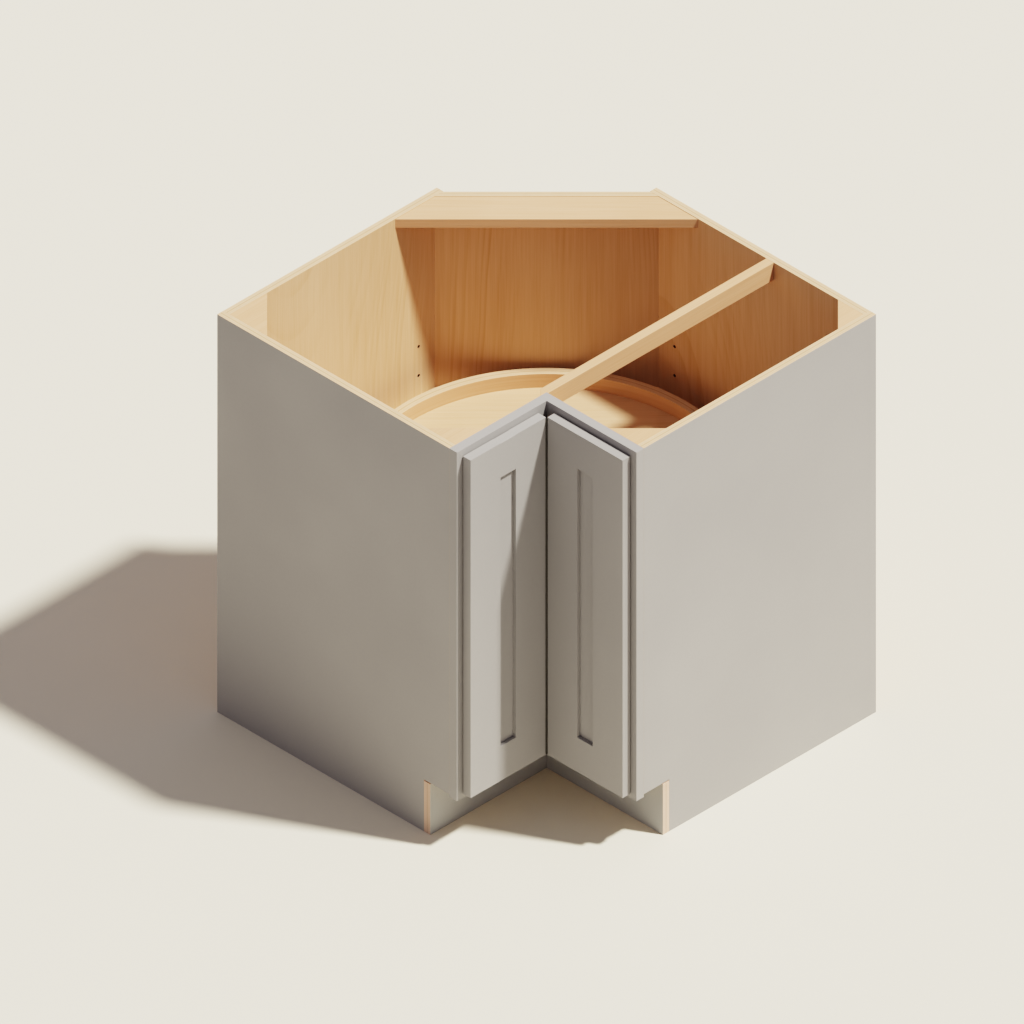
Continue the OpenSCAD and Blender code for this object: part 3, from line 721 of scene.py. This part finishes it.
def turned_shape(maker, radius, steps, sides):
    """A turned solid: a disc raised step by step. Each step is (rise, width after it)."""
    disc = maker.node("GeometryNodeMeshCircle", fill_type="NGON")
    disc.inputs["Vertices"].default_value = sides
    maker.feed(disc.inputs["Radius"], radius)
    flip = maker.node("GeometryNodeFlipFaces")
    maker.feed(flip.inputs[0], disc.outputs[0])
    bottom = flip.outputs[0]
    shape, top = disc.outputs[0], None
    for rise, width in steps:
        raised = maker.node("GeometryNodeExtrudeMesh")
        raised.inputs["Individual"].default_value = False
        maker.feed(raised.inputs["Mesh"], shape)
        maker.feed(raised.inputs["Offset"], (0, 0, 1))
        maker.feed(raised.inputs["Offset Scale"], rise)
        if top:
            maker.feed(raised.inputs["Selection"], top)
        scaled = maker.node("GeometryNodeScaleElements")
        maker.feed(scaled.inputs["Geometry"], raised.outputs["Mesh"])
        maker.feed(scaled.inputs["Selection"], raised.outputs["Top"])
        maker.feed(scaled.inputs["Scale"], width)
        shape, top = scaled.outputs[0], raised.outputs["Top"]
    both = maker.node("GeometryNodeJoinGeometry")
    maker.feed(both.inputs[0], bottom)
    maker.feed(both.inputs[0], shape)
    welded = maker.node("GeometryNodeMergeByDistance")
    maker.feed(welded.inputs[0], both.outputs[0])
    welded.inputs["Distance"].default_value = SAME_PLACE
    return welded.outputs[0]


def moved(maker, shape, offset):
    made = maker.node("GeometryNodeTransform")
    maker.feed(made.inputs["Geometry"], shape)
    maker.feed(made.inputs["Translation"], offset)
    return made.outputs[0]


def set_on_points(maker, given, out, shape):
    """An instance of the shape on every point, turned to the direction, each by its own angle."""
    aim = maker.node("FunctionNodeAlignRotationToVector", axis="Z")
    maker.feed(aim.inputs["Vector"], given["Direction"])
    spin = maker.node("FunctionNodeRandomValue", data_type="FLOAT")
    spin.inputs[3].default_value = math.pi
    spin.inputs["Seed"].default_value = SPIN_SEED
    turn = maker.node("FunctionNodeRotateRotation", rotation_space="LOCAL")
    about = maker.node("FunctionNodeAxisAngleToRotation")
    about.inputs["Axis"].default_value = (0, 0, 1)
    maker.feed(about.inputs["Angle"], spin.outputs[1])
    maker.feed(turn.inputs[0], aim.outputs[0])
    maker.feed(turn.inputs[1], about.outputs[0])
    spread = maker.node("GeometryNodeInstanceOnPoints")
    maker.feed(spread.inputs["Points"], given["Geometry"])
    maker.feed(spread.inputs["Instance"], shape)
    maker.feed(spread.inputs["Rotation"], turn.outputs[0])
    finish_tree(maker, given, out, spread.outputs[0])


def finish_tree(maker, given, out, shape):
    real = maker.node("GeometryNodeRealizeInstances")
    maker.feed(real.inputs[0], shape)
    painted = maker.node("GeometryNodeSetMaterial")
    maker.feed(painted.inputs["Geometry"], real.outputs[0])
    maker.feed(painted.inputs["Material"], given["Material"])
    maker.feed(out, painted.outputs[0])


def screw_tree():
    """A screw that points down from its head, whose top lies at the point."""
    maker, given, out = new_shape_tree("screws", [
        ("Direction", "vector"), ("Head Radius", "float"), ("Head Height", "float"),
        ("Seat Width", "float"), ("Shank Radius", "float"), ("Length", "float"),
        ("Recess", "float"), ("Material", "material")])
    height = given["Head Height"]
    head = turned_shape(maker, maker.math("MULTIPLY", given["Head Radius"], given["Seat Width"]), [
        (maker.math("MULTIPLY", height, 0.45), maker.math("DIVIDE", 1.0, given["Seat Width"])),
        (maker.math("MULTIPLY", height, 0.30), 0.92),
        (maker.math("MULTIPLY", height, 0.25), 0.72)], 24)
    head = moved(maker, head, maker.join(0.0, 0.0, maker.math("MULTIPLY", height, -1.0)))
    for wide, deep in ((1.0, 0.24), (0.24, 1.0)):
        arm = maker.node("GeometryNodeMeshCube")
        maker.feed(arm.inputs["Size"], maker.join(
            maker.math("MULTIPLY", given["Recess"], wide),
            maker.math("MULTIPLY", given["Recess"], deep), maker.math("MULTIPLY", height, 1.1)))
        cut = maker.node("GeometryNodeMeshBoolean", operation="DIFFERENCE")
        maker.feed(cut.inputs[0], head)
        maker.feed(cut.inputs[1], arm.outputs[0])
        head = cut.outputs[0]
    tip = maker.math("MULTIPLY", given["Shank Radius"], 2.0)
    shank = turned_shape(maker, maker.math("MULTIPLY", given["Shank Radius"], 0.2), [
        (tip, 5.0), (maker.math("SUBTRACT", maker.math("SUBTRACT", given["Length"], tip),
                                maker.math("MULTIPLY", height, 0.6)), 1.0)], 16)
    shank = moved(maker, shank, maker.join(0.0, 0.0, maker.math("MULTIPLY", given["Length"], -1.0)))
    both = maker.node("GeometryNodeJoinGeometry")
    maker.feed(both.inputs[0], head)
    maker.feed(both.inputs[0], shank)
    set_on_points(maker, given, out, both.outputs[0])
    return maker.tree


def peg_tree():
    """A turned peg that rises from the point: a chamfer or dome at each end."""
    maker, given, out = new_shape_tree("pegs", [
        ("Direction", "vector"), ("Radius", "float"), ("Length", "float"), ("End", "float"),
        ("End Width", "float"), ("Material", "material")])
    end = given["End"]
    straight = maker.math("SUBTRACT", given["Length"], maker.math("MULTIPLY", end, 2.0))
    width = given["End Width"]
    opened = maker.math("DIVIDE", 1.0, width)
    peg = turned_shape(maker, maker.math("MULTIPLY", given["Radius"], width), [
        (end, opened), (straight, 1.0), (maker.math("MULTIPLY", end, 0.5), 0.94),
        (maker.math("MULTIPLY", end, 0.5), width)], 32)
    set_on_points(maker, given, out, peg)
    return maker.tree


def ball_tree():
    """A ring of balls round the turning axis."""
    maker, given, out = new_shape_tree("ball_ring", [
        ("Count", "int"), ("Circle Radius", "float"), ("Height", "float"), ("Ball Radius", "float"),
        ("Material", "material")])
    places = maker.node("GeometryNodeMeshCircle")
    maker.feed(places.inputs["Vertices"], given["Count"])
    maker.feed(places.inputs["Radius"], given["Circle Radius"])
    ball = maker.node("GeometryNodeMeshIcoSphere")
    ball.inputs["Subdivisions"].default_value = 4
    maker.feed(ball.inputs["Radius"], given["Ball Radius"])
    smooth = maker.node("GeometryNodeSetShadeSmooth")
    maker.feed(smooth.inputs[0], ball.outputs[0])
    spread = maker.node("GeometryNodeInstanceOnPoints")
    maker.feed(spread.inputs["Points"], places.outputs[0])
    maker.feed(spread.inputs["Instance"], smooth.outputs[0])
    lifted = moved(maker, spread.outputs[0], maker.join(0.0, 0.0, given["Height"]))
    finish_tree(maker, given, out, lifted)
    return maker.tree


def grown(name, tree, points, sizes):
    """A plain mesh of what the tree makes on the points, with its sizes set by socket."""
    mesh = bpy.data.meshes.new(name)
    mesh.from_pydata([tuple(point) for point in points], [], [])
    piece = add_object(name, mesh)
    modifier = piece.modifiers.new(name, "NODES")
    modifier.node_group = tree
    sockets = {item.name: item.identifier for item in tree.interface.items_tree
               if item.in_out == "INPUT"}
    for title, value in sizes.items():
        modifier[sockets[title]] = value
    apply_modifiers(piece)
    return piece


def solids_of(node):
    """The lowest and highest corner of each separate solid in a node."""
    work = merged_copy(node)
    left = set(work.verts)
    found = []
    while left:
        reached = [left.pop()]
        for vert in reached:
            for edge in vert.link_edges:
                other = edge.other_vert(vert)
                if other in left:
                    left.remove(other)
                    reached.append(other)
        places = [vert.co for vert in reached]
        found.append((Vector([min(p[i] for p in places) for i in range(3)]),
                      Vector([max(p[i] for p in places) for i in range(3)])))
    work.free()
    return sorted(found, key=lambda pair: tuple(round(c, 5) for c in (pair[0] + pair[1])))


def end_points(node, direction):
    """The middle of each solid's end that looks the given way, and the solids' length."""
    points, length = [], 0.0
    for low, high in solids_of(node):
        centre, half = (low + high) / 2, (high - low) / 2
        reach = abs(half.dot(direction))
        points.append(centre + direction * reach)
        length = 2 * reach
    return points, length


def screws():
    """Every group of screws: its node, the way the heads look, and the kind of head."""
    tree = screw_tree()
    groups = [("hinge_arm_screws", -X, PAN_SCREW), ("hinge_cup_screws", Y, SUNK_SCREW)]
    for level in ("upper", "lower"):
        groups.append((level + "_bearing_screws", Z, PAN_SCREW))
        groups.append((level + "_tray_screws", -Z, PAN_SCREW))
    for node, direction, (radius, height, seat) in groups:
        points, length = end_points(node, direction)
        piece = grown("turned_" + node, tree, points, {
            "Direction": direction, "Head Radius": radius, "Head Height": height,
            "Seat Width": seat, "Shank Radius": SCREW_SHANK, "Length": length,
            "Recess": radius * SCREW_RECESS, "Material": ZINC_STEEL})
        stand_for(piece, node)


def pegs():
    """Shelf pins, which point along X or Y, and the soft bumpers on the doors."""
    tree = peg_tree()
    pins = []
    end, width = PIN_END
    for axis, wall in ((X, "x"), (Y, "y")):
        mine = [(low, high) for low, high in solids_of("shelf_pins")
                if (high - low).dot(axis) > PIN_REACH]
        starts = [(low + high) / 2 - axis * (high - low).dot(axis) / 2 for low, high in mine]
        low, high = mine[0]
        pins.append(grown("shelf_pins_" + wall, tree, starts, {
            "Direction": axis, "Radius": (high - low).z / 2, "Length": (high - low).dot(axis),
            "End": end, "End Width": width, "Material": ZINC_STEEL}))
    piece = joined("turned_shelf_pins", pins)
    stand_for(piece, "shelf_pins")
    end, width = BUMPER_END
    for side, direction in (("left", -X), ("right", Y)):
        node = side + "_door_bumpers"
        points, length = end_points(node, -direction)
        low, high = solids_of(node)[0]
        piece = grown("domed_" + node, tree, points, {
            "Direction": direction, "Radius": (high - low).z / 2, "Length": length,
            "End": end, "End Width": width, "Material": SOFT_DOTS})
        stand_for(piece, node)


def joined(name, pieces):
    """Several pieces as one mesh."""
    work = bmesh.new()
    for piece in pieces:
        work.from_mesh(piece.data)
    mesh = bpy.data.meshes.new(name)
    work.to_mesh(mesh)
    work.free()
    mesh.materials.append(pieces[0].data.materials[0])
    for piece in pieces:
        bpy.data.objects.remove(piece)
    return add_object(name, mesh)


def balls():
    """The balls of both bearings, as many and as large as the nodes hold."""
    tree = ball_tree()
    for level in ("upper", "lower"):
        node = level + "_balls"
        solids = solids_of(node)
        low, high = solids[0]
        centre = (low + high) / 2
        piece = grown("rolling_" + node, tree, [(0, 0, 0)], {
            "Count": len(solids), "Circle Radius": Vector(centre.xy).length, "Height": centre.z,
            "Ball Radius": (high - low).z / 2, "Material": ZINC_STEEL})
        stand_for(piece, node)


# ---------------------------------------------------------------- floor, light and camera

def floor():
    corners = [(x * FLOOR_REACH, y * FLOOR_REACH, 0)
               for x, y in ((-1, -1), (1, -1), (1, 1), (-1, 1))]
    mesh = bpy.data.meshes.new("floor")
    mesh.from_pydata(corners, [], [(0, 1, 2, 3)])
    piece = add_object("floor", mesh)
    mesh.materials.append(grained("pale_floor", FLOOR, 3 * MM, 0.02 * MM, 0.02, 0.85, 0.95))


def light():
    sun = bpy.data.lights.new("sun", "SUN")
    sun.energy = SUN_STRENGTH
    sun.angle = SUN_WIDTH
    sun.color = SUN_COLOUR
    lamp = bpy.data.objects.new("sun", sun)
    lamp.rotation_mode = "QUATERNION"
    lamp.rotation_quaternion = SUN_WAY.to_track_quat("Z", "Y")
    bpy.context.scene.collection.objects.link(lamp)

    world = bpy.data.worlds.new("soft_room")
    bpy.context.scene.world = world
    world.use_nodes = True
    maker = Maker(world.node_tree)
    for old in list(world.node_tree.nodes):
        world.node_tree.nodes.remove(old)
    shown = maker.node("ShaderNodeBackground")
    shown.inputs["Color"].default_value = ROOM_SEEN
    soft = maker.node("ShaderNodeBackground")
    soft.inputs["Color"].default_value = ROOM_LIGHT
    choose = maker.node("ShaderNodeMixShader")
    maker.feed(choose.inputs[0], maker.node("ShaderNodeLightPath").outputs["Is Camera Ray"])
    maker.feed(choose.inputs[1], soft.outputs[0])
    maker.feed(choose.inputs[2], shown.outputs[0])
    maker.feed(maker.node("ShaderNodeOutputWorld").inputs["Surface"], choose.outputs[0])
    bpy.context.scene.view_settings.view_transform = "Filmic"
    bpy.context.scene.view_settings.look = "High Contrast"


def camera():
    """An isometric view without perspective, from above the notch."""
    right = Vector((1, 1, 0)).normalized()
    back = Vector((1, -1, 1)).normalized()
    up = back.cross(right)
    aim = VIEW_ALONG * right + VIEW_UP * up
    lens = bpy.data.cameras.new("camera")
    lens.type = "ORTHO"
    lens.ortho_scale = VIEW_WIDTH
    lens.clip_end = VIEW_END
    eye = bpy.data.objects.new("camera", lens)
    eye.rotation_mode = "QUATERNION"
    eye.rotation_quaternion = back.to_track_quat("Z", "Y")
    eye.location = aim + back * VIEW_DISTANCE
    bpy.context.scene.collection.objects.link(eye)
    bpy.context.scene.camera = eye


carcass()
face_frame()
doors()
trays()
metal_and_plastic()
screws()
pegs()
balls()
floor()
light()
camera()
